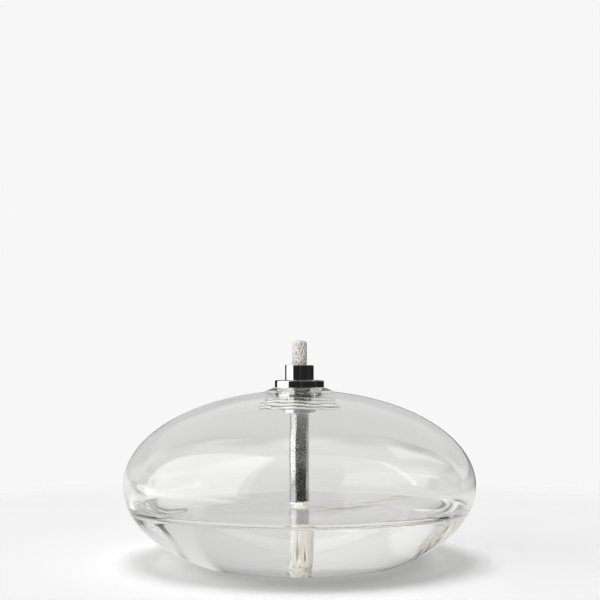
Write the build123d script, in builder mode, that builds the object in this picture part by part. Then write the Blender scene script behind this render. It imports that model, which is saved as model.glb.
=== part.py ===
"""Table oil lamp: a blown-glass reservoir, a turned metal burner that stands in its neck, a braided
wick that is held in the burner and trails along the reservoir's floor, and the oil.

Millimetres, +Z up. The origin is the centre of the face that the vessel stands on.
"""

from math import acos, asin, cos, degrees, radians, sin, sqrt, tan
import os

from build123d import *

# ------------------------------------------------------------------ glass vessel, outside
body_radius = 85.0
equator_height = 36.9  # the widest section, above the table
dome_rise = 45.1  # half-ellipse above the equator
bowl_drop = 45.6  # half-ellipse below the equator, cut off by the ground foot
rim_rise = 1.1  # the rim stands this far above the top of the dome's ellipse
lip_radius = 12.9
lip_slope = 4.4  # the lip falls away to the dome over this width
lip_root_fillet = 8.0
lip_edge_fillet = 1.2
foot_edge_fillet = 3.0
foot_ring_width = 15.0  # flat ring that the vessel stands on, round a polished hollow
foot_hollow_depth = 0.6

# ------------------------------------------------------------------ glass vessel, inside
wall = 2.5
floor_thickness = 4.0
floor_corner_fillet = 9.0
neck_bore_radius = 8.7
neck_bore_fillet = 0.6
neck_depth = 10.3  # the thick neck reaches this far below the rim
neck_root_radius = 17.0  # where the neck leaves the dome
neck_root_fillet = 1.4
neck_foot_radius = 20.8  # its flared lower edge
neck_foot_fillet = 1.6

# ------------------------------------------------------------------ burner
flange_radius = 12.0
flange_thickness = 3.6
flange_top_chamfer = 0.45
flange_bottom_chamfer = 0.15
collar_radius = 7.0
collar_height = 7.4
collar_chamfer = 0.2
collar_lip = 1.5  # thickness of the inward lip that the wick is pulled through
sleeve_clearance = 0.3  # radial, sleeve in the glass neck
sleeve_reach = 1.6  # the sleeve shows this far below the neck
sleeve_chamfer = 0.5
tube_radius = 4.8
tube_wall = 0.55
tube_lift = 1.2  # the tube ends this far above the oil's surface
pressed_clearance = 0.02  # radial, between the tube and what is pressed onto it

# ------------------------------------------------------------------ wick
wick_clearance = 0.3  # radial, to the collar's lip and to the tube
wick_radius = 3.65
wick_above_collar = 12.2
wick_end_fillet = 1.3
wick_swell_length = 4.0  # the braid relaxes from its gripped to its free diameter over this length
tail_turn = 37.0  # the tail trails off at this angle about the lamp's axis, to the right and the back
tail_bend_share = 0.45  # share of the shorter run that a bend takes

# ------------------------------------------------------------------ oil
oil_level = 26.7
oil_gap = 0.3  # between the oil and the burner or the wick

# ------------------------------------------------------------------ worked out from the sizes above
foot_radius = body_radius * sqrt(1 - (equator_height / bowl_drop) ** 2)
foot_hollow_radius = foot_radius - foot_ring_width
rim_height = equator_height + dome_rise + rim_rise
neck_foot_height = rim_height - neck_depth
flange_top = rim_height + flange_thickness
collar_top = flange_top + collar_height
sleeve_radius = neck_bore_radius - sleeve_clearance
sleeve_bottom = neck_foot_height - sleeve_reach
tube_bore_radius = tube_radius - tube_wall
tube_bottom = oil_level + tube_lift
tube_top = collar_top - collar_lip
pressed_radius = tube_radius + pressed_clearance
collar_bore_radius = wick_radius + wick_clearance
wick_top = collar_top + wick_above_collar
relaxed_wick_radius = tube_bore_radius - wick_clearance

# the tail's route, as distance from the axis and height: down, along the floor and up the bowl
tail_route = [
    (0.0, tube_bottom),
    (1.5, 17.0),
    (9.0, 9.4),
    (24.0, 8.4),
    (42.0, 8.6),
    (57.0, 11.6),
    (69.5, 21.0),
]


def bowl_arc(radius, drop, bottom):
    """Lower half-ellipse, from the height at which it is cut off up to the equator."""
    angle = degrees(asin((equator_height - bottom) / drop))
    return EllipticalCenterArc((0, equator_height), radius, drop, start_angle=-angle, arc_size=angle)


def dome_arc(radius, rise, inner_radius):
    """Upper half-ellipse, from the equator to the radius at which the neck cuts it off."""
    angle = degrees(acos(inner_radius / radius))
    return EllipticalCenterArc((0, equator_height), radius, rise, start_angle=0, arc_size=angle)


def bend_radii(route):
    """Radius of each bend of the tail, as large as the runs before and after it leave room for."""
    points = [Vector(*point) for point in route]
    radii = []
    for before, corner, after in zip(points, points[1:], points[2:]):
        arriving = corner - before
        leaving = after - corner
        room = tail_bend_share * min(arriving.length, leaving.length)
        radii.append(room / tan(radians(arriving.get_angle(leaving)) / 2))
    return radii


def tail_form(extra):
    """The free tail of the wick, grown by extra all round and at its end."""
    last_run = Vector(*tail_route[-1]) - Vector(*tail_route[-2])
    end = Vector(*tail_route[-1]) + last_run.normalized() * extra
    route = tail_route[:-1] + [(end.X, end.Y)]
    trailing_plane = Plane(
        origin=(0, 0, 0),
        x_dir=(cos(radians(tail_turn)), sin(radians(tail_turn)), 0),
        z_dir=(sin(radians(tail_turn)), -cos(radians(tail_turn)), 0),
    )
    with BuildPart() as form:
        with BuildLine(trailing_plane) as path:
            FilletPolyline(*route, radius=bend_radii(route))
        with BuildSketch(Plane.XY.offset(tube_bottom)):
            Circle(relaxed_wick_radius + extra)
        sweep(path=path.line)
    return form.part


# ------------------------------------------------------------------ the reservoir and its neck
with BuildPart() as reservoir:
    with BuildSketch(Plane.XZ) as inside:
        with BuildLine():
            bowl = bowl_arc(body_radius - wall, bowl_drop - wall, floor_thickness)
            dome = dome_arc(body_radius - wall, dome_rise - wall, neck_root_radius)
            Polyline(
                dome @ 1,
                (neck_foot_radius, neck_foot_height),
                (neck_bore_radius, neck_foot_height),
                (neck_bore_radius, rim_height),
                (0, rim_height),
                (0, floor_thickness),
                bowl @ 0,
            )
        make_face()
        for corner, radius in (
            (bowl @ 0, floor_corner_fillet),
            (dome @ 1, neck_root_fillet),
            ((neck_foot_radius, neck_foot_height), neck_foot_fillet),
            ((neck_bore_radius, neck_foot_height), neck_bore_fillet),
        ):
            fillet(inside.vertices().sort_by_distance(corner)[0], radius)
    revolve(axis=Axis.Z)

# ------------------------------------------------------------------ glass vessel
with BuildPart() as glass_vessel:
    with BuildSketch(Plane.XZ) as outside:
        with BuildLine():
            bowl = bowl_arc(body_radius, bowl_drop, 0)
            dome = dome_arc(body_radius, dome_rise, lip_radius + lip_slope)
            Polyline(dome @ 1, (lip_radius, rim_height), (0, rim_height), (0, foot_hollow_depth))
            TangentArc((0, foot_hollow_depth), (foot_hollow_radius, 0), tangent=(1, 0))
            Line((foot_hollow_radius, 0), bowl @ 0)
        make_face()
        for corner, radius in (
            (bowl @ 0, foot_edge_fillet),
            (dome @ 1, lip_root_fillet),
            ((lip_radius, rim_height), lip_edge_fillet),
        ):
            fillet(outside.vertices().sort_by_distance(corner)[0], radius)
    revolve(axis=Axis.Z)
    add(reservoir.part, mode=Mode.SUBTRACT)
    rim_edges = glass_vessel.edges().filter_by(GeomType.CIRCLE).group_by(Axis.Z)[-1]
    fillet(rim_edges.sort_by(SortBy.RADIUS)[0], neck_bore_fillet)
glass_vessel.part.label = "glass_vessel"

# ------------------------------------------------------------------ burner
with BuildPart() as burner_flange:
    with BuildSketch(Plane.XY.offset(rim_height)):
        Circle(flange_radius)
        Circle(pressed_radius, mode=Mode.SUBTRACT)
    extrude(amount=flange_thickness)
    rims = burner_flange.edges().filter_by(GeomType.CIRCLE)
    chamfer(rims.group_by(Axis.Z)[-1].sort_by(SortBy.RADIUS)[-1], flange_top_chamfer)
    chamfer(rims.group_by(Axis.Z)[0].sort_by(SortBy.RADIUS)[-1], flange_bottom_chamfer)
burner_flange.part.label = "burner_flange"

with BuildPart() as wick_collar:
    with BuildSketch(Plane.XY.offset(flange_top)):
        Circle(collar_radius)
    extrude(amount=collar_height)
    with BuildSketch(Plane.XY.offset(flange_top)):
        Circle(pressed_radius)
    extrude(amount=collar_height - collar_lip, mode=Mode.SUBTRACT)
    with BuildSketch(Plane.XY.offset(tube_top)):
        Circle(collar_bore_radius)
    extrude(amount=collar_lip, mode=Mode.SUBTRACT)
    rims = wick_collar.edges().filter_by(GeomType.CIRCLE).group_by(Axis.Z)
    chamfer(rims[-1], collar_chamfer)
    chamfer(rims[0].sort_by(SortBy.RADIUS)[-1], collar_chamfer)
wick_collar.part.label = "wick_collar"

with BuildPart() as neck_sleeve:
    with BuildSketch(Plane.XY.offset(sleeve_bottom)):
        Circle(sleeve_radius)
        Circle(pressed_radius, mode=Mode.SUBTRACT)
    extrude(amount=rim_height - sleeve_bottom)
    rims = neck_sleeve.edges().filter_by(GeomType.CIRCLE).group_by(Axis.Z)
    chamfer(rims[0].sort_by(SortBy.RADIUS)[-1], sleeve_chamfer)
neck_sleeve.part.label = "neck_sleeve"

with BuildPart() as wick_tube:
    with BuildSketch(Plane.XY.offset(tube_bottom)):
        Circle(tube_radius)
        Circle(tube_bore_radius, mode=Mode.SUBTRACT)
    extrude(amount=tube_top - tube_bottom)
wick_tube.part.label = "wick_tube"

# ------------------------------------------------------------------ wick
with BuildPart() as wick:
    with BuildSketch(Plane.XY.offset(tube_bottom)):
        Circle(relaxed_wick_radius)
    with BuildSketch(Plane.XY.offset(tube_bottom + wick_swell_length)):
        Circle(wick_radius)
    loft()
    with BuildSketch(Plane.XY.offset(tube_bottom + wick_swell_length)):
        Circle(wick_radius)
    extrude(amount=wick_top - tube_bottom - wick_swell_length)
    fillet(wick.edges().filter_by(GeomType.CIRCLE).sort_by(Axis.Z)[-1], wick_end_fillet)
wick.part.label = "wick"

with BuildPart() as wick_tail:
    add(tail_form(0))
wick_tail.part.label = "wick_tail"
print("bend radii of the wick's tail:", [round(radius, 1) for radius in bend_radii(tail_route)])

# ------------------------------------------------------------------ oil
with BuildPart() as lamp_oil:
    add(reservoir.part)
    split(bisect_by=Plane.XY.offset(oil_level), keep=Keep.BOTTOM)
    add(tail_form(oil_gap), mode=Mode.SUBTRACT)
    with BuildSketch(Plane.XY.offset(tube_bottom - oil_gap)):
        Circle(tube_radius + oil_gap)
    extrude(amount=tube_top - tube_bottom, mode=Mode.SUBTRACT)
lamp_oil.part.label = "lamp_oil"

os.makedirs("parts", exist_ok=True)
for piece in (
    glass_vessel,
    lamp_oil,
    burner_flange,
    wick_collar,
    neck_sleeve,
    wick_tube,
    wick,
    wick_tail,
):
    export_step(piece.part, f"parts/{piece.part.label}.step")
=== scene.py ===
"""Looks for the table oil lamp: hand-blown glass, lamp oil, a turned metal burner and a braided wick."""

import math

import bpy
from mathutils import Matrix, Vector, noise


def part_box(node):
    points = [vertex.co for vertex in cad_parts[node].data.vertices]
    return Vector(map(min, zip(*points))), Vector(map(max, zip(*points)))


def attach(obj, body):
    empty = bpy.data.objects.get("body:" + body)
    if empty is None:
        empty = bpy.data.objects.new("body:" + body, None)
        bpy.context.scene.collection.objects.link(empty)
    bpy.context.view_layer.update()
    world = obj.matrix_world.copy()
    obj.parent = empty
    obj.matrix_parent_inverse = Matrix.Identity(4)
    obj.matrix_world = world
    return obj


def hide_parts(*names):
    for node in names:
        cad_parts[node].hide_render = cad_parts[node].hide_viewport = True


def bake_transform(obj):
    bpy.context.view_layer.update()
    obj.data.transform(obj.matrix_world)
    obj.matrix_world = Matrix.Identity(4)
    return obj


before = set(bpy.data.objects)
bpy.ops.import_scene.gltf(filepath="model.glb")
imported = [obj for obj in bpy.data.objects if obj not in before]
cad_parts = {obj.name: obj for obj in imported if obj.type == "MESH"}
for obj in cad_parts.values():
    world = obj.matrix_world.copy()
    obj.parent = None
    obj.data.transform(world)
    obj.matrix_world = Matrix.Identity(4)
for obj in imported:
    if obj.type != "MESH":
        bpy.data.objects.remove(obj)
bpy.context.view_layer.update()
MM = 0.001
noise.seed_set(1)  # or the yarns would wander differently on every run

# ---------------------------------------------------------------- sizes, in metres, from the frame
_, vessel_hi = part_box("glass_vessel")
oil_lo, oil_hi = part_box("lamp_oil")
_, collar_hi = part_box("wick_collar")
_, tube_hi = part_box("wick_tube")
wick_lo, wick_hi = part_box("wick")

body_radius = vessel_hi.x
rim_height = vessel_hi.z
oil_level = oil_hi.z - 0.7 * MM  # the flat of the surface, below its raised edge
floor_height = oil_lo.z
tube_radius = tube_hi.x
relaxed_wick_radius = wick_hi.x

# sizes that no box gives, as the part's source has them
equator_height = 36.9 * MM
dome_rise = 45.1 * MM
bowl_drop = 45.6 * MM
wall = 2.5 * MM
lip_radius = 12.9 * MM
lip_slope = 4.4 * MM
foot_ring_width = 15.0 * MM
foot_hollow_depth = 0.6 * MM
neck_bore_radius = 8.7 * MM
neck_foot_height = rim_height - 10.3 * MM
neck_root_radius = 17.0 * MM
neck_foot_radius = 20.8 * MM
wick_radius = 3.65 * MM
tube_wall = 0.55 * MM
tail_turn = math.radians(37.0)
tail_route = [  # distance from the axis and height of each point of the free tail
    (0.0, wick_lo.z),
    (1.5 * MM, 17.0 * MM),
    (9.0 * MM, 9.4 * MM),
    (24.0 * MM, 8.4 * MM),
    (42.0 * MM, 8.6 * MM),
    (57.0 * MM, 11.6 * MM),
    (69.5 * MM, 21.0 * MM),
]

inner_radius = body_radius - wall
inner_rise = dome_rise - wall
inner_drop = bowl_drop - wall


# ---------------------------------------------------------------- outlines and lathed meshes
def part_of(distance, span):
    """A distance as a share of a span, kept between 0 and 1."""
    return min(1.0, max(0.0, distance / span))


def straight(start, end, steps):
    return [tuple(a + (b - a) * i / steps for a, b in zip(start, end)) for i in range(steps + 1)]


def ellipse(radius, rise, start, end, steps):
    """Points of a half-ellipse about the equator, between two eccentric angles in radians."""
    out = []
    for i in range(steps + 1):
        angle = start + (end - start) * i / steps
        out.append((radius * math.cos(angle), equator_height + rise * math.sin(angle)))
    return out


def bowl_angle(drop, height):
    """The eccentric angle of a half-ellipse below the equator where it is at a height."""
    return math.asin((height - equator_height) / drop)


def length_of(run):
    return sum(math.dist(a, b) for a, b in zip(run, run[1:]))


def point_at(run, distance):
    """The point at a distance along a run, and the index of the next point of the run."""
    for i, (a, b) in enumerate(zip(run, run[1:]), 1):
        step = math.dist(a, b)
        if distance <= step:
            t = distance / step
            return (a[0] + (b[0] - a[0]) * t, a[1] + (b[1] - a[1]) * t), i
        distance -= step
    return run[-1], len(run)


def joined(runs, roundings, steps=8):
    """Runs end to end, each corner between two of them eased over a distance along both."""
    same = 1e-6
    out = []
    lead = 0.0
    for i, run in enumerate(runs):
        tail = roundings[i] if i < len(roundings) else 0.0
        start, first = point_at(run, lead)
        end, last = point_at(run, length_of(run) - tail)
        out.append(start)
        out += [p for p in run[first:last] if math.dist(p, start) > same and math.dist(p, end) > same]
        out.append(end)
        if tail:
            corner = run[-1]
            following, _ = point_at(runs[i + 1], tail)
            for k in range(1, steps):
                t = k / steps
                a, b, c = (1 - t) ** 2, 2 * t * (1 - t), t * t
                out.append(tuple(a * p + b * q + c * r for p, q, r in zip(end, corner, following)))
        lead = tail
    clean = [out[0]]
    for p in out[1:]:
        if math.dist(p, clean[-1]) > same:
            clean.append(p)
    return clean


def lathe(name, outline, segments, closed=True, slots=None, shape=None):
    """A mesh of revolution from (radius, height) points, an end on the axis being one vertex.
    slots gives the material slot of the band that follows each point; shape(radius, height, turn)
    gives back the radius and height of a point that departs from the round form."""
    verts, rows = [], []
    for radius, height in outline:
        if radius < 1e-9:
            rows.append([len(verts)])
            verts.append((0.0, 0.0, height))
            continue
        rows.append(range(len(verts), len(verts) + segments))
        for k in range(segments):
            turn = 2 * math.pi * k / segments
            r, z = shape(radius, height, turn) if shape else (radius, height)
            verts.append((r * math.cos(turn), r * math.sin(turn), z))
    faces, bands = [], []
    pairs = list(zip(rows, rows[1:])) + ([(rows[-1], rows[0])] if closed else [])
    for band, (low, high) in enumerate(pairs):
        if len(low) == 1 and len(high) == 1:
            continue
        for k in range(segments):
            n = (k + 1) % segments
            if len(low) == 1:
                faces.append((low[0], high[n], high[k]))
            elif len(high) == 1:
                faces.append((low[k], low[n], high[0]))
            else:
                faces.append((low[k], low[n], high[n], high[k]))
            bands.append(band)
    piece = smooth_piece(name, verts, faces)
    if slots:
        piece.data.polygons.foreach_set("material_index", [slots[band] for band in bands])
    return piece


def smooth_piece(name, verts, faces):
    """A piece in the scene from vertices and faces, shaded smooth."""
    mesh = bpy.data.meshes.new(name)
    mesh.from_pydata(verts, [], faces)
    mesh.polygons.foreach_set("use_smooth", [True] * len(faces))
    mesh.update()
    return linked(name, mesh)


def linked(name, data):
    piece = bpy.data.objects.new(name, data)
    bpy.context.scene.collection.objects.link(piece)
    return piece


def dress(piece, *materials):
    """Gives a piece its materials, one slot for each."""
    for material in materials:
        piece.data.materials.append(material)


# ---------------------------------------------------------------- materials
class Nodes:
    """A material's node tree, with short calls to add and join nodes."""

    def __init__(self, name):
        self.material = bpy.data.materials.new(name)
        self.material.use_nodes = True
        self.tree = self.material.node_tree
        self.shader = self.tree.nodes["Principled BSDF"]
        self.output = self.tree.nodes["Material Output"]

    def add(self, kind, **values):
        """A new node; each value is an attribute of it or, with _ for a space, one of its inputs."""
        node = self.tree.nodes.new(kind)
        for key, value in values.items():
            if hasattr(node, key):
                setattr(node, key, value)
            else:
                node.inputs[key.replace("_", " ")].default_value = value
        return node

    def join(self, source, target):
        self.tree.links.new(source, target)

    def set(self, **values):
        for key, value in values.items():
            self.shader.inputs[key.replace("_", " ")].default_value = value

    def ramp(self, factor, low, low_color, high, high_color):
        """A colour that runs from one to the other while factor runs from low to high."""
        node = self.tree.nodes.new("ShaderNodeValToRGB")
        node.color_ramp.elements[0].position = low
        node.color_ramp.elements[0].color = low_color
        node.color_ramp.elements[1].position = high
        node.color_ramp.elements[1].color = high_color
        self.join(factor, node.inputs["Fac"])
        return node.outputs[0]

    def mixed(self, share, first, second):
        """Two shaders' outputs mixed, with the second where share is 1."""
        node = self.tree.nodes.new("ShaderNodeMixShader")
        for socket, source in zip(node.inputs, (share, first, second)):
            self.join(source, socket)
        return node.outputs[0]


WHITE_TINT = (1, 1, 1, 1)
GLASS_IOR = 1.5
OIL_IOR = 1.44


def glass_material(name, ior, tint, transmission=1.0, mirror_tint=WHITE_TINT):
    m = Nodes(name)
    m.set(Base_Color=tint, Roughness=0.0, IOR=ior)
    m.set(Transmission_Weight=transmission, Specular_Tint=mirror_tint)
    return m.material


clear_glass = glass_material("clear_glass", GLASS_IOR, (0.988, 0.99, 0.984, 1))
wet_glass = glass_material("wet_glass", GLASS_IOR / OIL_IOR, WHITE_TINT)
# painted shade and painted highlight for the neck's ripples: a near-black glass with a dark mirror in the
# grooves, and a half-clear pale glass on the crests
groove_painted_shade_tint = (0.06, 0.065, 0.045, 1)
groove_painted_shade_glass = glass_material("groove_painted_shade_glass", GLASS_IOR, groove_painted_shade_tint, mirror_tint=(0.1, 0.1, 0.08, 1))
crest_painted_highlight_glass = glass_material("crest_painted_highlight_glass", GLASS_IOR, (0.97, 0.97, 0.94, 1), transmission=0.5)
oil_surface = glass_material("oil_surface", OIL_IOR, (0.995, 0.995, 0.985, 1))
oil_edge = glass_material("oil_edge", OIL_IOR, (0.965, 0.97, 0.93, 1))


def unseen_material():
    """For the oil where it lies against the glass: wet_glass bends the light there."""
    m = Nodes("oil_contact")
    clear = m.add("ShaderNodeBsdfTransparent")
    m.join(clear.outputs[0], m.output.inputs["Surface"])
    return m.material


oil_contact = unseen_material()

STEEL = (0.82, 0.82, 0.81, 1)


def metal_material(name, roughness, spread_by, lines, depth, speckle=0.0):
    """Bright steel with marks in its surface: lathe lines where spread_by is large in z, grain where it
    is even. speckle is how much darker the grain's hollows are, and makes its tops dull."""
    m = Nodes(name)
    m.set(Base_Color=STEEL, Metallic=1.0, Roughness=roughness)
    where = m.add("ShaderNodeTexCoord")
    spread = m.add("ShaderNodeMapping")
    spread.inputs["Scale"].default_value = spread_by
    grain = m.add("ShaderNodeTexNoise", Scale=1.0, Detail=3.0, Roughness=0.6)
    bump = m.add("ShaderNodeBump", Strength=lines, Distance=depth)
    m.join(where.outputs["Object"], spread.inputs["Vector"])
    m.join(spread.outputs[0], grain.inputs["Vector"])
    m.join(grain.outputs["Fac"], bump.inputs["Height"])
    m.join(bump.outputs[0], m.shader.inputs["Normal"])
    if speckle:
        low = STEEL[0] * (1 - speckle)
        spots = m.ramp(grain.outputs["Fac"], 0.40, (low, low, low * 1.02, 1), 0.60, STEEL)
        m.join(spots, m.shader.inputs["Base Color"])
        flecks = m.add("ShaderNodeMapRange", From_Min=0.52, From_Max=0.60, To_Min=roughness, To_Max=0.6)
        m.join(grain.outputs["Fac"], flecks.inputs["Value"])
        m.join(flecks.outputs[0], m.shader.inputs["Roughness"])
    return m.material


turned_metal = metal_material("turned_metal", 0.05, (40, 40, 9000), 0.25, 0.00002)
tube_metal = metal_material("tube_metal", 0.04, (1900, 1900, 1400), 0.3, 0.00005, speckle=0.4)


def braid_material():
    """Pale glass fibre with stained patches."""
    m = Nodes("braid")
    m.set(Roughness=0.8)
    where = m.add("ShaderNodeTexCoord")
    patches = m.add("ShaderNodeTexNoise", Scale=500.0, Detail=4.0)
    m.join(where.outputs["Object"], patches.inputs["Vector"])
    tones = m.ramp(patches.outputs["Fac"], 0.3, (0.72, 0.675, 0.61, 1), 0.55, (0.89, 0.865, 0.82, 1))
    m.join(tones, m.shader.inputs["Base Color"])
    return m.material


def core_material():
    """The yarns inside the braid, browned where oil has soaked in; seen in the gaps only."""
    m = Nodes("braid_core")
    m.set(Base_Color=(0.50, 0.41, 0.28, 1), Roughness=0.9)
    return m.material


braid = braid_material()
braid_core = core_material()

# ---------------------------------------------------------------- the glass vessel
# the last two slots hold painted shade for the neck's grooves and a painted highlight for its crests
CLEAR, WET, PAINTED_SHADE_GROOVE, PAINTED_HIGHLIGHT_CREST = range(4)  # the vessel's material slots

meniscus_rise = 2.4 * MM
meniscus_spread = 1.8 * MM
ripple_pitch = 1.35 * MM
ripple_depth = 0.15 * MM
ripples_reach = 6.2 * MM  # above the neck's lower edge
# the neck's painted lines: painted shade in the grooves and a painted highlight on the crests, this far
# above the neck's lower edge and past these ripple levels
painted_lines_reach = 6.0 * MM
painted_shade_below = -0.7  # of a ripple, from -1 to 1
painted_highlight_above = 0.1
wave_depth = 0.10 * MM


def neck_ripple(height, turn):
    """From -1 in a groove of the neck's tooling to 1 on a crest."""
    wander = 1.7 * noise.noise(Vector((2.4 * math.cos(turn), 2.4 * math.sin(turn), height * 300)))
    return math.sin(2 * math.pi * (height / ripple_pitch) + turn + 2 * wander)


def inside_share(radius, height):
    """1 on the ellipsoid's inner skin, fading out towards the neck, the oil's surface and the floor."""
    rise = inner_rise if height > equator_height else inner_drop
    skin = math.hypot(radius / inner_radius, (height - equator_height) / rise)
    if abs(skin - 1) > 0.004:
        return 0.0
    above_floor = part_of(height - floor_height - 6 * MM, 8 * MM)
    off_neck = part_of(radius - neck_foot_radius, 8 * MM)
    off_surface = part_of(abs(height - oil_level), 5 * MM)
    return above_floor * off_neck * off_surface


def hand_worked(radius, height, turn):
    """Moves a point of the vessel off the round form: tooling ripples on the neck and slow waves inside."""
    inner = inside_share(radius, height)
    if inner:
        place = Vector((radius * math.cos(turn), radius * math.sin(turn), height * 1.6))
        radius += inner * wave_depth * noise.noise(place * 42)
    above_foot = part_of(height - neck_foot_height, 0.8 * MM)
    below_root = part_of(neck_foot_height + ripples_reach - height, 1.0 * MM)
    on_neck = above_foot * below_root
    if on_neck and neck_root_radius - 0.2 * MM < radius < neck_foot_radius + 0.3 * MM:
        radius += on_neck * ripple_depth * neck_ripple(height, turn)
    return radius, height


def vessel_outline():
    """The section from the middle of the foot up the outside, over the rim, down the neck's bore and
    back up its side, and along the inner skin to the middle of the floor."""
    foot_radius = body_radius * math.sqrt(1 - (equator_height / bowl_drop) ** 2)
    hollow_radius = foot_radius - foot_ring_width
    hollow = [
        (hollow_radius * t, foot_hollow_depth * (1 - t * t)) for t in (0, 0.2, 0.4, 0.6, 0.8, 1)
    ]
    bowl = ellipse(body_radius, bowl_drop, bowl_angle(bowl_drop, 0), 0, 50)[:-1]
    slope_angle = math.acos((lip_radius + lip_slope) / body_radius)
    dome = ellipse(body_radius, dome_rise, 0, slope_angle, 60)
    rim_outside = (lip_radius, rim_height)
    rim_inside = (neck_bore_radius, rim_height)
    neck_edge = (neck_bore_radius, neck_foot_height)
    neck_foot = (neck_foot_radius, neck_foot_height)
    neck_angle = math.acos(neck_root_radius / inner_radius)
    ceiling = ellipse(inner_radius, inner_rise, neck_angle, 0, 90)
    basin = ellipse(inner_radius, inner_drop, 0, bowl_angle(inner_drop, floor_height), 70)[1:]
    runs = [  # each with the length in mm over which the corner at its end is eased
        (hollow, 0.0),
        ([(hollow_radius, 0), bowl[0]], 1.0),
        (bowl + dome, 1.3),
        ([dome[-1], rim_outside], 0.5),
        ([rim_outside, rim_inside], 0.6),
        ([rim_inside, neck_edge], 0.6),
        ([neck_edge, neck_foot], 1.6),
        (straight(neck_foot, ceiling[0], 60), 1.2),
        (ceiling + basin, 4.0),
        ([basin[-1], (0, floor_height)], 0.0),
    ]
    return joined([run for run, _ in runs], [easing * MM for _, easing in runs])


def paint_neck_shade_and_highlight(piece):
    """Paints shade into the grooves of the neck's outer side with a near-black glass, and a highlight onto
    its crests with a half-clear pale glass.
    """
    for face in piece.data.polygons:
        x, y, z = face.center
        on_side = neck_root_radius - MM < math.hypot(x, y) < neck_foot_radius + MM
        at_painted_lines = neck_foot_height < z < neck_foot_height + painted_lines_reach
        if not (on_side and at_painted_lines and face.normal.dot(Vector((x, y, 0))) > 0):
            continue
        ripple = neck_ripple(z, math.atan2(y, x))
        if ripple < painted_shade_below:
            face.material_index = PAINTED_SHADE_GROOVE
        elif ripple > painted_highlight_above:
            face.material_index = PAINTED_HIGHLIGHT_CREST


def vessel():
    outline = vessel_outline()
    slack = 1e-6
    slots = []
    for (radius, height), (_, next_height) in zip(outline, outline[1:] + outline[:1]):
        inside = radius < inner_radius + slack and height > floor_height - slack
        wetted = max(height, next_height) <= oil_level + meniscus_rise + slack
        slots.append(WET if inside and wetted and next_height < height + slack else CLEAR)
    piece = lathe("vessel_glass", outline, 300, closed=False, slots=slots, shape=hand_worked)
    dress(piece, clear_glass, wet_glass, groove_painted_shade_glass, crest_painted_highlight_glass)
    paint_neck_shade_and_highlight(piece)
    return piece


glass = vessel()
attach(glass, "vessel")
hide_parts("glass_vessel")

# ---------------------------------------------------------------- the oil
SURFACE, CONTACT, EDGE = range(3)  # the oil's material slots

oil_gap = 0.02 * MM  # between the oil and the glass
climb_reach = 12.0 * MM  # how far from the glass the surface begins to climb
wick_climb = 0.6 * MM
wick_climb_reach = 9.0 * MM
wick_climb_spread = 1.5 * MM


def inner_wall_radius(height):
    """Radius of the basin's inner wall at a height below the equator."""
    return inner_radius * math.sqrt(1 - ((equator_height - height) / inner_drop) ** 2)


def surface_line(flat_end):
    """The oil's surface from the axis outwards: raised at the wick, flat, and climbing the glass."""
    wick_edge = relaxed_wick_radius - 0.3 * MM
    line = [(0, oil_level + wick_climb), (wick_edge * 0.5, oil_level + wick_climb)]
    near_steps = 24
    for i in range(near_steps + 1):
        away = wick_climb_reach * (i / near_steps) ** 2
        line.append((wick_edge + away, oil_level + wick_climb * math.exp(-away / wick_climb_spread)))
    flat_start = (wick_edge + wick_climb_reach, oil_level)
    line += straight(flat_start, (flat_end, oil_level), 9)[1:-1]
    far_steps = 40
    for i in range(far_steps + 1):
        t = 1 - (1 - i / far_steps) ** 1.6
        rise = meniscus_rise * math.exp(-climb_reach * (1 - t) / meniscus_spread)
        line.append((flat_end + climb_reach * t, oil_level + rise))
    return line


def oil():
    top = oil_level + meniscus_rise
    flat_end = inner_wall_radius(top) - oil_gap - climb_reach
    surface = surface_line(flat_end)
    lowest = floor_height + 6 * MM
    side_steps = 30
    side = []
    for i in range(1, side_steps + 1):
        height = top + (lowest - top) * i / side_steps
        side.append((inner_wall_radius(height) - oil_gap, height))
    bottom = [(30 * MM, floor_height + oil_gap), (0, floor_height + oil_gap)]
    outline = surface + side + bottom
    outline.reverse()
    slots = [CONTACT] * len(side + bottom)
    climbing = oil_level + 0.15 * MM
    for radius, height in reversed(surface[:-1]):
        slots.append(EDGE if radius > flat_end and height > climbing else SURFACE)
    piece = lathe("oil_fill", outline, 240, closed=False, slots=slots)
    dress(piece, oil_surface, oil_contact, oil_edge)
    return piece


oil_piece = oil()
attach(oil_piece, "vessel")
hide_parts("lamp_oil")


# ---------------------------------------------------------------- the burner
def turned_outline(bore, radius, low, high, low_edge, high_edge):
    """Section of a ring with small rounded edges outside."""
    runs = [
        [(bore, low), (radius, low)],
        [(radius, low), (radius, high)],
        [(radius, high), (bore, high)],
        [(bore, high), (bore, low)],
    ]
    return joined(runs, [low_edge, high_edge])[:-1]


def turned(name, node, bore, low_edge, high_edge, material):
    """A ring of the burner, as large as its CAD node, with its outer edges rounded."""
    lo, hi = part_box(node)
    outline = turned_outline(bore, hi.x, lo.z, hi.z, low_edge, high_edge)
    piece = lathe(name, outline, 160)
    dress(piece, material)
    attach(piece, "burner")
    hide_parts(node)


turned("flange_disc", "burner_flange", tube_radius, 0.3 * MM, 0.45 * MM, turned_metal)
turned("collar_ring", "wick_collar", wick_radius + 0.3 * MM, 0.2 * MM, 0.2 * MM, turned_metal)
turned("sleeve_ring", "neck_sleeve", tube_radius, 0.5 * MM, 0.1 * MM, turned_metal)
turned("tube_body", "wick_tube", tube_radius - tube_wall, 0.1 * MM, 0.1 * MM, tube_metal)

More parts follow.
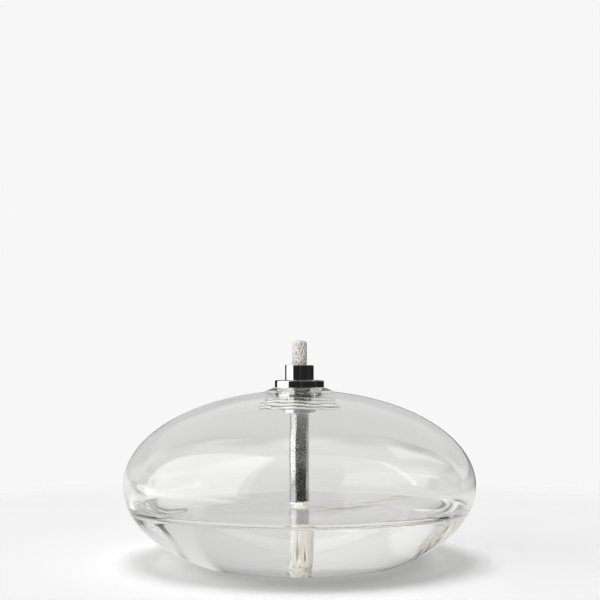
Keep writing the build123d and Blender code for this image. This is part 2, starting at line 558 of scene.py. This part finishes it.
# ---------------------------------------------------------------- the wick
line_step = 0.5 * MM
yarn_radius = 0.50 * MM
yarn_spacing = 0.85 * MM
carriers = 8
yarns_each = 2
lay_length = 36 * MM
core_share = 0.84  # of the braid's radius
weave_depth = 0.10 * MM
weave_room = 0.12 * MM  # kept between the yarns and the envelope
braid_slack = 0.05 * MM  # how much slimmer the braid is than its solid
wander_rate = 500  # how fast a yarn wanders along its length
wander_out = 0.06 * MM
wander_turn = 0.03
wander_thickness = 0.15
relax_length = 4 * MM  # below the tube's grip
collar_swell = 0.18 * MM
collar_swell_length = 2 * MM
tip_length = 1.4 * MM


def straight_line(low, high, step):
    count = max(2, round((high - low) / step))
    return [Vector((0, 0, low + (high - low) * i / count)) for i in range(count + 1)]


def resampled(points, step):
    """Points at an even distance along a line of points."""
    out = [points[0]]
    left = step
    for a, b in zip(points, points[1:]):
        length = (b - a).length
        along = left
        while along <= length:
            out.append(a.lerp(b, along / length))
            along += step
        left = along - length
    if (out[-1] - points[-1]).length > 0.3 * step:
        out.append(points[-1])
    return out


def tail_line():
    """Points along the smooth route of the free tail, read from its NURBS spline."""
    curve = bpy.data.curves.new("tail_route", "CURVE")
    curve.dimensions = "3D"
    curve.resolution_u = 24
    spline = curve.splines.new("NURBS")
    spline.points.add(len(tail_route) - 1)
    for point, (along, height) in zip(spline.points, tail_route):
        point.co = (along * math.cos(tail_turn), along * math.sin(tail_turn), height, 1)
    spline.order_u = 3
    spline.use_endpoint_u = True
    route = bpy.data.objects.new("tail_route", curve)
    line = bpy.data.meshes.new_from_object(route)
    points = [v.co.copy() for v in line.vertices]
    bpy.data.objects.remove(route)
    bpy.data.meshes.remove(line)
    return resampled(points, line_step)


def side_frames(line):
    """For each point of a line, its direction and two directions across it that don't twist along it."""
    frames = []
    across = Vector((1, 0, 0))
    for i, point in enumerate(line):
        ahead = (line[min(i + 1, len(line) - 1)] - line[max(i - 1, 0)]).normalized()
        across = (across - ahead * across.dot(ahead)).normalized()
        frames.append((point, ahead, across, ahead.cross(across)))
    return frames


def tube_mesh(name, tubes, soaked, sides=8):
    """One piece of closed tubes, each a list of (centre, radius) pairs; the first, the core, is browned
    if soaked."""
    verts, faces = [], []
    for tube in tubes:
        rings = []
        centres = [centre for centre, _ in tube]
        for (centre, _, u, v), (_, radius) in zip(side_frames(centres), tube):
            rings.append(range(len(verts), len(verts) + sides))
            for k in range(sides):
                turn = 2 * math.pi * k / sides
                verts.append(centre + radius * (math.cos(turn) * u + math.sin(turn) * v))
        for low, high in zip(rings, rings[1:]):
            for k in range(sides):
                n = (k + 1) % sides
                faces.append((low[k], low[n], high[n], high[k]))
        faces.append(tuple(reversed(rings[0])))
        faces.append(tuple(rings[-1]))
    piece = smooth_piece(name, verts, faces)
    dress(piece, braid)
    if soaked:
        core_slot = 1
        dress(piece, braid_core)
        core_faces = (len(tubes[0]) - 1) * sides + 2
        for face in piece.data.polygons[:core_faces]:
            face.material_index = core_slot
    return piece


def yarn_tube(frames, step, envelope, hand, start, shift, seed):
    """One yarn: it winds round the braid, weaves over and under the other hand's and wanders a little."""
    count = len(frames) - 1
    tube = []
    for i, (point, _, u, v) in enumerate(frames):
        turn = hand * 2 * math.pi * i * step / lay_length + start
        weave = hand * math.cos(carriers * turn)
        wander = noise.noise_vector(seed + Vector((0, 0, i * step * wander_rate)))
        out = envelope(i / count) - yarn_radius - weave_room + weave_depth * weave
        out += wander_out * wander.x
        angle = turn + shift + wander_turn * wander.y
        centre = point + out * (math.cos(angle) * u + math.sin(angle) * v)
        tube.append((centre, yarn_radius * (1 + wander_thickness * wander.z)))
    return tube


def braided(name, line, envelope, phase=0.0, soaked=False):
    """A round braid along a line: two hands of carriers, each of a few yarns, over a plain core.
    envelope(share) is the braid's radius at a share of its length."""
    frames = side_frames(line)
    count = len(line) - 1
    step = (line[1] - line[0]).length
    tubes = [[(point, core_share * envelope(i / count)) for i, (point, *_) in enumerate(frames)]]
    for hand in (1, -1):
        for carrier in range(carriers):
            start = 2 * math.pi * carrier / carriers
            for yarn in range(yarns_each):
                shift = (yarn - (yarns_each - 1) / 2) * yarn_spacing / wick_radius
                seed = Vector((carrier * 3.1, yarn * 7.7, hand * 5.3 + phase))
                tubes.append(yarn_tube(frames, step, envelope, hand, start, shift, seed))
    return tube_mesh(name, tubes, soaked)


def held_envelope(share):
    """Gripped by the collar and the tube, with a rounded top end."""
    height = wick_lo.z + (wick_hi.z - wick_lo.z) * share
    relax = part_of(wick_lo.z + relax_length - height, relax_length)
    radius = wick_radius + (relaxed_wick_radius - wick_radius) * relax
    swell = collar_swell * part_of(height - collar_hi.z, collar_swell_length)
    tip = 1 - part_of(wick_hi.z - height, tip_length)
    return (radius - braid_slack + swell) * math.sqrt(1 - 0.5 * tip * tip)


def tail_envelope(share):
    """The free tail is as thick at its end as at its start."""
    return relaxed_wick_radius - braid_slack


held = braided("wick_braid", straight_line(wick_lo.z, wick_hi.z - yarn_radius, line_step), held_envelope)
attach(held, "wick")
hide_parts("wick")

tail_points = tail_line()
tail = braided("wick_tail_braid", tail_points, tail_envelope, phase=2.0, soaked=True)
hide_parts("wick_tail")
# what lies in the bowl stays there, and the stretch below the tube is drawn up with the burner
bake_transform(tail)

# ---------------------------------------------------------------- floor, studio light and camera
WHITE = 0.93  # the floor and the background, as the camera sees them
BACKDROP = 0.64  # the pale backdrop, as it is seen in metal and through glass


class Maths:
    """Short calls for arithmetic nodes in a tree; an argument is a number or an output socket."""

    def __init__(self, tree):
        self.tree = tree

    def give(self, value, socket):
        if isinstance(value, (int, float)):
            socket.default_value = value
        else:
            self.tree.links.new(value, socket)

    def do(self, operation, *values):
        node = self.tree.nodes.new("ShaderNodeMath")
        node.operation = operation
        for socket, value in zip(node.inputs, values):
            self.give(value, socket)
        return node.outputs[0]

    def plus(self, a, b):
        return self.do("ADD", a, b)

    def minus(self, a, b):
        return self.do("SUBTRACT", a, b)

    def times(self, a, b):
        return self.do("MULTIPLY", a, b)

    def rest_of(self, value):
        """What is left of 1."""
        return self.do("SUBTRACT", 1.0, value)

    def step(self, value, low, high):
        """0 below low, 1 above high, smooth between."""
        node = self.tree.nodes.new("ShaderNodeMapRange")
        node.interpolation_type = "SMOOTHSTEP"
        node.inputs["From Min"].default_value = low
        node.inputs["From Max"].default_value = high
        self.give(value, node.inputs["Value"])
        return node.outputs[0]

    def band(self, value, low, high, soft):
        """1 from low to high, smooth over soft on either side."""
        falling = self.rest_of(self.step(value, high - soft, high + soft))
        return self.times(self.step(value, low - soft, low + soft), falling)

    def mix(self, share, a, b):
        """a where share is 0, b where it is 1."""
        node = self.tree.nodes.new("ShaderNodeMix")
        node.data_type = "FLOAT"
        self.give(share, node.inputs["Factor"])
        self.give(a, node.inputs["A"])
        self.give(b, node.inputs["B"])
        return node.outputs["Result"]

    def azimuth(self, x, y):
        """Degrees from the front, positive to the right."""
        return self.times(self.do("ARCTAN2", x, self.times(y, -1.0)), 180 / math.pi)

    def along(self, vector, direction):
        """How far a vector goes in a direction."""
        node = self.tree.nodes.new("ShaderNodeVectorMath")
        node.operation = "DOT_PRODUCT"
        self.tree.links.new(vector, node.inputs[0])
        node.inputs[1].default_value = direction
        return node.outputs["Value"]


def painted_floor_shadow(maths, x, y):
    """The floor's colour, with a painted shadow: darker right under the lamp."""
    across = maths.times(maths.minus(x, 0.006), 1.25)
    squares = maths.plus(maths.do("POWER", across, 2.0), maths.do("POWER", y, 2.0))
    beside = maths.do("SQRT", squares)
    return maths.mix(maths.step(beside, 0.060, 0.092), 0.50, 0.95)


def floor_glow(maths, mirrored, bearing, away):
    """How bright the floor is in metal and through glass: even, but bright on the left and dark in front
    and on the right for what the tube mirrors, as in the studio."""
    dark = maths.times(maths.band(bearing, -46, 84, 5), maths.step(away, 0.031, 0.037))
    lit = maths.times(maths.band(bearing, -122, -58, 6), maths.step(away, 0.12, 0.16))
    mirror_tone = maths.mix(lit, maths.mix(dark, 0.78, 0.05), 1.2)
    return maths.mix(mirrored, 0.81, mirror_tone)


def floor_material():
    m = Nodes("floor")
    maths = Maths(m.tree)
    path = m.add("ShaderNodeLightPath")
    where = m.add("ShaderNodeTexCoord")
    split = m.add("ShaderNodeSeparateXYZ")
    middle = m.add("ShaderNodeVectorMath", operation="LENGTH")
    m.join(where.outputs["Object"], split.inputs[0])
    m.join(where.outputs["Object"], middle.inputs[0])
    x, y, _ = split.outputs
    away = middle.outputs["Value"]
    # the floor fades into the background, and is darker there to keep the same tone
    faded = maths.step(away, 0.22, 0.46)
    diffuse = m.add("ShaderNodeBsdfDiffuse")
    # painted shadow: the floor's colour darkens under the lamp, beneath its cast shadow
    m.join(maths.mix(faded, painted_floor_shadow(maths, x, y), 0.76), diffuse.inputs["Color"])
    glow = m.add("ShaderNodeEmission")
    mirrored = maths.do("GREATER_THAN", path.outputs["Glossy Depth"], 0.5)
    m.join(floor_glow(maths, mirrored, maths.azimuth(x, y), away), glow.inputs["Strength"])
    clear = m.add("ShaderNodeBsdfTransparent")
    seen_plain = maths.do("MAXIMUM", path.outputs["Is Glossy Ray"], path.outputs["Is Transmission Ray"])
    plain = m.mixed(seen_plain, diffuse.outputs[0], glow.outputs[0])
    m.join(m.mixed(faded, plain, clear.outputs[0]), m.output.inputs["Surface"])
    return m.material


def floor_stage():
    """A pale floor that keeps the shadow for the camera, deepened by a painted shadow under the lamp, and
    shows plain in metal and through glass.
    """
    under_lamp = (0, 0, -0.02 * MM)
    bpy.ops.mesh.primitive_circle_add(vertices=96, radius=0.5, fill_type="NGON", location=under_lamp)
    floor = bpy.context.object
    floor.name = "floor"
    dress(floor, floor_material())


class Rays:
    """Which ray asks for the world's light, and where it looks, in degrees."""

    def __init__(self, maths):
        where = maths.tree.nodes.new("ShaderNodeTexCoord")
        split = maths.tree.nodes.new("ShaderNodeSeparateXYZ")
        self.direction = where.outputs["Generated"]
        maths.tree.links.new(self.direction, split.inputs[0])
        x, y, z = split.outputs
        self.azimuth = maths.azimuth(x, y)
        self.elevation = maths.times(maths.do("ARCSINE", z), 180 / math.pi)
        self.turned_away = maths.do("ABSOLUTE", self.azimuth)
        path = maths.tree.nodes.new("ShaderNodeLightPath")
        self.from_camera = path.outputs["Is Camera Ray"]
        self.after_matt = maths.step(path.outputs["Diffuse Depth"], 0.4, 0.6)
        # the last surface was glass or oil, and the ray went through it
        self.through = path.outputs["Is Transmission Ray"]
        # the last surface was metal, which blurs its mirror slightly as the glass doesn't
        blurred = maths.rest_of(path.outputs["Is Singular Ray"])
        self.in_metal = maths.times(path.outputs["Is Glossy Ray"], blurred)
        self.clear_of_metal = maths.rest_of(self.in_metal)
        # some surface on the way was a mirror
        self.mirrored = maths.do("GREATER_THAN", path.outputs["Glossy Depth"], 0.5)
        self.not_mirrored = maths.rest_of(self.mirrored)
        # the tube inside the glass was that mirror, as the lamp is seen from a little above
        below = maths.do("LESS_THAN", self.elevation, 0.0)
        self.in_tube = maths.times(maths.times(self.mirrored, self.through), below)


def leaning_bearing(maths, rays):
    """The azimuth that places the studio's edges. Metal sees them where they are. They stand further
    right for the tube and through the glass, and in the glass's mirror the more, the further a ray
    looks above or below its level."""
    off_level = maths.minus(maths.do("ABSOLUTE", maths.plus(rays.elevation, 0.8)), 1.8)
    lean = maths.do("MINIMUM", maths.times(maths.do("MAXIMUM", off_level, 0.0), 4.0), 13.0)
    lean = maths.mix(rays.through, lean, 19.0)
    lean = maths.mix(rays.in_tube, lean, 8.0)
    return maths.minus(rays.azimuth, maths.times(lean, rays.clear_of_metal))


def backdrop(maths, rays, bearing):
    """A pale backdrop behind, which ends on the right for what mirrors it at the burner's level."""
    left = maths.times(maths.rest_of(maths.step(bearing, -140, -135)), rays.clear_of_metal)
    level_mirror = maths.times(maths.band(rays.elevation, -12, 4, 1), maths.rest_of(rays.through))
    right = maths.times(maths.step(rays.azimuth, 127, 131), maths.rest_of(level_mirror))
    pale = maths.mix(maths.step(rays.elevation, -2.0, -0.4), BACKDROP + 0.18, BACKDROP - 0.04)
    return maths.times(maths.do("MAXIMUM", left, right), pale)


def softbox(maths, rays, bearing):
    """A softbox on the left, with two upright edges and one that slopes down to the front right."""
    box = maths.minus(maths.step(bearing, -128, -125), maths.step(bearing, -53, -51))
    slope = maths.along(rays.direction, (0.573, 0.768, 0.287))
    under = maths.rest_of(maths.step(slope, -0.02, 0.02))
    box = maths.times(maths.times(box, under), maths.step(rays.elevation, -30, -26))
    calm = maths.times(maths.band(rays.azimuth, -103, -40, 8), rays.not_mirrored)
    through_glass = maths.mix(calm, maths.mix(rays.mirrored, 1.3, 1.5), 0.88)
    level = maths.mix(rays.through, maths.mix(rays.in_metal, 2.4, 1.4), through_glass)
    level = maths.mix(rays.in_tube, level, 2.0)
    return maths.times(box, level)


def small_lights(maths, rays, light):
    """Adds a narrow strip light on the right, two faint upright ones and a faint one overhead."""
    strip = maths.times(maths.band(rays.azimuth, 78, 82, 0.7), maths.band(rays.elevation, 14, 54, 3))
    light = maths.plus(light, maths.times(strip, 1.8))
    for place in (9, 83):
        faint = maths.times(maths.band(rays.azimuth, place - 2, place + 2, 1.5), 0.05)
        light = maths.plus(light, faint)
    return maths.plus(light, maths.times(maths.step(rays.elevation, 15, 80), 0.22))


def greys_in_front(maths, rays, light):
    """Adds the grey room that the clear glass shows from behind, and what the tube mirrors of it: a band
    halfway down, and the end of the backdrop at its right edge."""
    only_glass = maths.times(rays.not_mirrored, rays.through)
    room = maths.times(only_glass, maths.band(rays.azimuth, -50, 125, 4))
    light = maths.plus(light, maths.times(room, 0.4))
    in_front = maths.times(maths.band(rays.azimuth, -45, 84, 4), rays.in_tube)
    grey = maths.times(maths.band(rays.elevation, -4.9, -3.95, 0.2), in_front)
    light = maths.plus(light, maths.times(grey, 0.7))
    beside_tube = maths.times(maths.band(rays.azimuth, 88, 131, 3), rays.in_tube)
    return maths.plus(light, maths.times(beside_tube, 0.5))


def room_around(maths, rays, light):
    """Puts the room above and beside the lamp in place of the light, as the lower bowl shows it."""
    room = maths.mix(maths.step(rays.azimuth, -50, 20), 0.90, 0.77)
    downward = maths.rest_of(maths.step(rays.elevation, -18, -12))
    sideways = maths.times(maths.step(rays.turned_away, 82, 90), downward)
    upward = maths.times(maths.step(rays.elevation, 17, 22), maths.step(rays.turned_away, 70, 84))
    in_room = maths.do("MAXIMUM", upward, sideways)
    return maths.mix(maths.times(in_room, rays.through), light, room)


def matt_fill(maths, rays):
    """An even fill from the front left, brighter for what is inside the glass."""
    facing = maths.do("MAXIMUM", maths.along(rays.direction, (-0.75, -0.66, 0.0)), 0.0)
    facing = maths.times(facing, facing)
    fill = maths.plus(maths.times(facing, 1.3), 0.19)
    fill_inside = maths.plus(maths.times(facing, 6.0), 2.3)
    return maths.mix(rays.through, fill, fill_inside)


def studio():
    """World light by direction: a pale backdrop behind, a softbox on the left, dark in front and right;
    what is matt gets the fill instead, and the camera sees plain white."""
    world = bpy.data.worlds.new("studio")
    bpy.context.scene.world = world
    world.use_nodes = True
    maths = Maths(world.node_tree)
    rays = Rays(maths)
    bearing = leaning_bearing(maths, rays)
    light = maths.plus(backdrop(maths, rays, bearing), softbox(maths, rays, bearing))
    light = maths.plus(light, 0.02)
    light = small_lights(maths, rays, light)
    light = greys_in_front(maths, rays, light)
    light = room_around(maths, rays, light)
    strength = maths.mix(rays.after_matt, light, matt_fill(maths, rays))
    strength = maths.mix(rays.from_camera, strength, WHITE)
    background = world.node_tree.nodes["Background"]
    background.inputs["Color"].default_value = WHITE_TINT
    maths.give(strength, background.inputs["Strength"])


def key_light():
    """A broad sun overhead, for the shadow on the floor."""
    sun = bpy.data.lights.new("key", "SUN")
    sun.energy = 1.66
    sun.angle = math.radians(34)
    lamp = linked("key", sun)
    lamp.rotation_euler = Vector((-0.09, 0.04, 1.0)).to_track_quat("Z", "Y").to_euler()
    lamp.visible_glossy = False
    lamp.visible_transmission = False


def camera():
    data = bpy.data.cameras.new("camera")
    data.sensor_width = 36
    data.lens = 72.57
    eye = Vector((0.29 * MM, -591.8 * MM, 96.87 * MM))
    aim = Vector((0.29 * MM, 0.0, 125.94 * MM))
    lens = linked("camera", data)
    lens.location = eye
    lens.rotation_euler = (aim - eye).to_track_quat("-Z", "Y").to_euler()
    bpy.context.scene.camera = lens


floor_stage()
studio()
key_light()
camera()

scene = bpy.context.scene
scene.view_settings.view_transform = "Standard"
scene.cycles.max_bounces = 24
scene.cycles.transmission_bounces = 20
scene.cycles.glossy_bounces = 12
scene.cycles.transparent_max_bounces = 32
